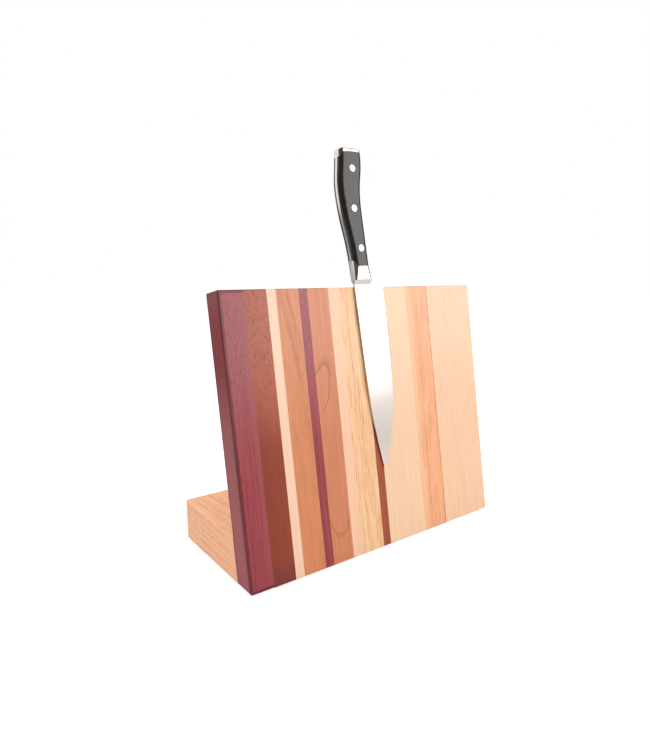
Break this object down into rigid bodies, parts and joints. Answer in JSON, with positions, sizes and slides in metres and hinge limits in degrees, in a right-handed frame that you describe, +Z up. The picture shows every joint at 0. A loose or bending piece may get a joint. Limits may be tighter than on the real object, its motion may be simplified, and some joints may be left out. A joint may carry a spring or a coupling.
{
  "type": "knife block",
  "caption": "Leaning magnetic knife board of mixed wood strips on a solid oak base, with one chef's knife that pulls straight off its face.",
  "frame": {"origin": "middle of the footprint, on the surface that the rubber feet stand on", "axes": "+Z up; the board's face, where the knife hangs, looks to -Y and leans back 10 degrees towards +Y, where the base is; +X is to the right seen from the front"},
  "size_m": [0.305, 0.131, 0.3793],
  "materials": {
    "purpleheart": "oiled, close dark grain, satin",
    "walnut": "oiled, red-brown, fine open grain, satin",
    "maple": "oiled, pale, very fine grain, satin",
    "cherry": "oiled, even red-tan with soft growth rings, satin",
    "ash": "oiled, pale with open brown grain lines, satin",
    "red_oak": "oiled, dark open pores, satin",
    "base_oak": "oiled, open pores in short dashes, satin",
    "beech": "plain turned dowel",
    "magnet_nickel": "nickel plated",
    "rubber": "moulded, matte",
    "knife_steel": "fine satin grind across the blade",
    "handle_black": "moulded, satin, slightly worn",
    "rivet_steel": "flush ground"
  },
  "bodies": {
    "stand": {"strip_01_purpleheart": "purpleheart", "strip_02_walnut": "walnut", "strip_03_maple": "maple", "strip_04_cherry": "cherry", "strip_05_purpleheart": "purpleheart", "strip_06_cherry": "cherry", "strip_07_maple": "maple", "strip_08_ash": "ash", "strip_09_walnut": "walnut", "strip_10_maple": "maple", "strip_11_red_oak": "red_oak", "strip_12_maple": "maple", "base_stave_1": "base_oak", "base_stave_2": "base_oak", "base_stave_3": "base_oak", "upper_magnets": "magnet_nickel", "lower_magnets": "magnet_nickel", "upper_cover_bar": "maple", "lower_cover_bar": "maple", "joint_dowels": "beech", "rubber_feet": "rubber"},
    "knife": {"knife_forging": "knife_steel", "handle_scale_front": "handle_black", "handle_scale_back": "handle_black", "handle_rivets": "rivet_steel"}
  },
  "joints": [
    {"name": "knife_pull", "type": "slide", "parent": "stand", "child": "knife", "axis": [0, -0.9848, 0.1736], "range_m": [0, 0.1]}
  ]
}
